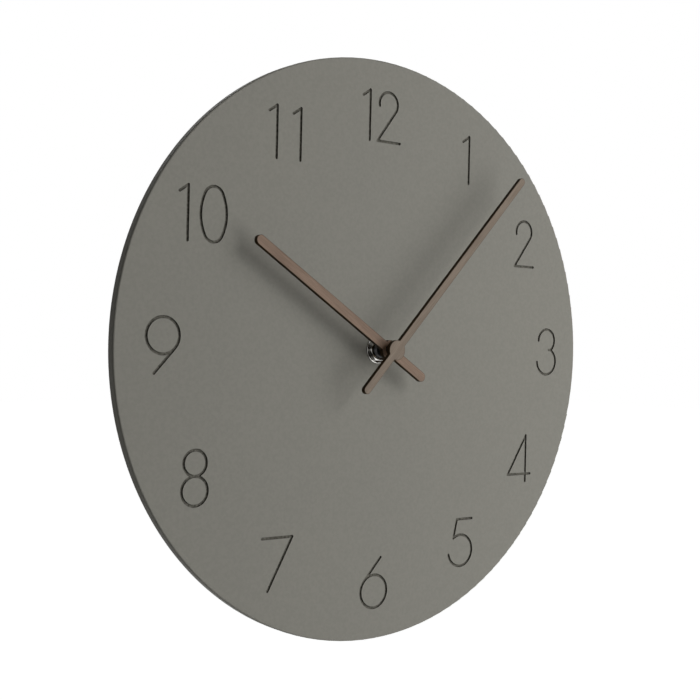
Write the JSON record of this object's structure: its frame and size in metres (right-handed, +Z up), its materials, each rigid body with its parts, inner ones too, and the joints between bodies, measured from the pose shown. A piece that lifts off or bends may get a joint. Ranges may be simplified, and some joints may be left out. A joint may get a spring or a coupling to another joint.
{
  "type": "wall clock",
  "caption": "Round wooden wall clock with an engraved painted board, wooden hands and a battery quartz movement that hangs from an eye on its case",
  "frame": {"origin": "on the axis of the hands, in the plane of the wall: the flat back of the movement case", "axes": "+X to the right as the dial is read, +Y into the wall, so the dial faces -Y, +Z up towards the twelve"},
  "size_m": [0.3, 0.0386, 0.3],
  "materials": {
    "board_paint": "Medium-density fibreboard under a matt warm grey paint, numerals engraved through it to a dark bottom",
    "hand_wood": "Grey-brown wood veneer, satin, with dark laser-burnt edges",
    "nut_metal": "Bright nickel plate",
    "brass": "Turned brass, satin",
    "washer_rubber": "Black rubber, matt",
    "case_plastic": "Black moulded plastic with a fine spark texture",
    "train_plastic": "Natural acetal, smooth",
    "battery_sleeve": "Plain printed film sleeve over a steel can, bare metal at both ends",
    "contact_metal": "Nickel-plated spring steel",
    "circuit_resin": "Green solder mask over glass-fibre laminate",
    "chip_resin": "Black potting resin",
    "crystal_metal": "Drawn metal can",
    "copper_wire": "Enamelled copper wire, wound close",
    "soft_iron": "Bare soft iron sheet",
    "magnet": "Moulded ferrite, dark grey"
  },
  "bodies": {
    "housing": {"dial_board": "board_paint", "rubber_washer": "washer_rubber", "front_washer": "nut_metal", "hex_nut": "nut_metal", "threaded_neck": "case_plastic", "front_case": "case_plastic", "rear_cover": "case_plastic", "train_plate": "train_plastic", "battery": "battery_sleeve", "positive_contact": "contact_metal", "negative_contact": "contact_metal", "circuit_board": "circuit_resin", "chip_cap": "chip_resin", "quartz_crystal": "crystal_metal", "coil_bobbin": "train_plastic", "coil_winding": "copper_wire", "coil_core": "soft_iron", "stator": "soft_iron"},
    "minute_works": {"minute_hand": "hand_wood", "minute_hand_bush": "brass", "minute_arbor": "brass", "clutch_spring": "contact_metal"},
    "hour_works": {"hour_hand": "hand_wood", "hour_hand_bush": "brass", "hour_wheel": "train_plastic"},
    "motion_works": {"motion_wheel": "train_plastic"},
    "setting_works": {"setting_knob": "case_plastic", "setting_pinion": "train_plastic"},
    "second_works": {"second_wheel": "train_plastic"},
    "rotor": {"rotor_magnet": "magnet", "rotor_pinion": "train_plastic"},
    "intermediate_works": {"intermediate_wheel": "train_plastic"},
    "third_works": {"third_wheel": "train_plastic"},
    "centre_works": {"centre_wheel": "brass"}
  },
  "joints": [
    {"name": "minute_hand_turn", "type": "hinge", "parent": "housing", "child": "minute_works", "pos_m": [0, 0, 0], "axis": [0, 1, 0], "continuous": true},
    {"name": "hour_hand_turn", "type": "hinge", "parent": "housing", "child": "hour_works", "pos_m": [0, 0, 0], "axis": [0, 1, 0], "continuous": true},
    {"name": "motion_wheel_turn", "type": "hinge", "parent": "housing", "child": "motion_works", "pos_m": [0.0048, 0, 0.00831], "axis": [0, 1, 0], "continuous": true},
    {"name": "setting_knob_turn", "type": "hinge", "parent": "housing", "child": "setting_works", "pos_m": [0.01382, 0, 0.0116], "axis": [0, 1, 0], "continuous": true},
    {"name": "second_wheel_turn", "type": "hinge", "parent": "housing", "child": "second_works", "pos_m": [0, 0, 0], "axis": [0, 1, 0], "continuous": true},
    {"name": "rotor_turn", "type": "hinge", "parent": "housing", "child": "rotor", "pos_m": [-0.00816, 0, 0.00925], "axis": [0, 1, 0], "continuous": true},
    {"name": "intermediate_wheel_turn", "type": "hinge", "parent": "housing", "child": "intermediate_works", "pos_m": [-0.00606, 0, 0.0035], "axis": [0, 1, 0], "continuous": true},
    {"name": "third_wheel_turn", "type": "hinge", "parent": "housing", "child": "third_works", "pos_m": [0.00677, 0, -0.00246], "axis": [0, 1, 0], "continuous": true},
    {"name": "centre_wheel_turn", "type": "hinge", "parent": "housing", "child": "centre_works", "pos_m": [0, 0, 0], "axis": [0, 1, 0], "continuous": true}
  ],
  "couplings": [
    {"joint": "hour_hand_turn", "follows": "minute_hand_turn", "ratio": 0.083333},
    {"joint": "motion_wheel_turn", "follows": "minute_hand_turn", "ratio": -0.33333},
    {"joint": "setting_knob_turn", "follows": "minute_hand_turn", "ratio": 1},
    {"joint": "rotor_turn", "follows": "second_wheel_turn", "ratio": 30},
    {"joint": "intermediate_wheel_turn", "follows": "second_wheel_turn", "ratio": -6},
    {"joint": "third_wheel_turn", "follows": "second_wheel_turn", "ratio": -0.13333},
    {"joint": "centre_wheel_turn", "follows": "second_wheel_turn", "ratio": 0.016667}
  ]
}
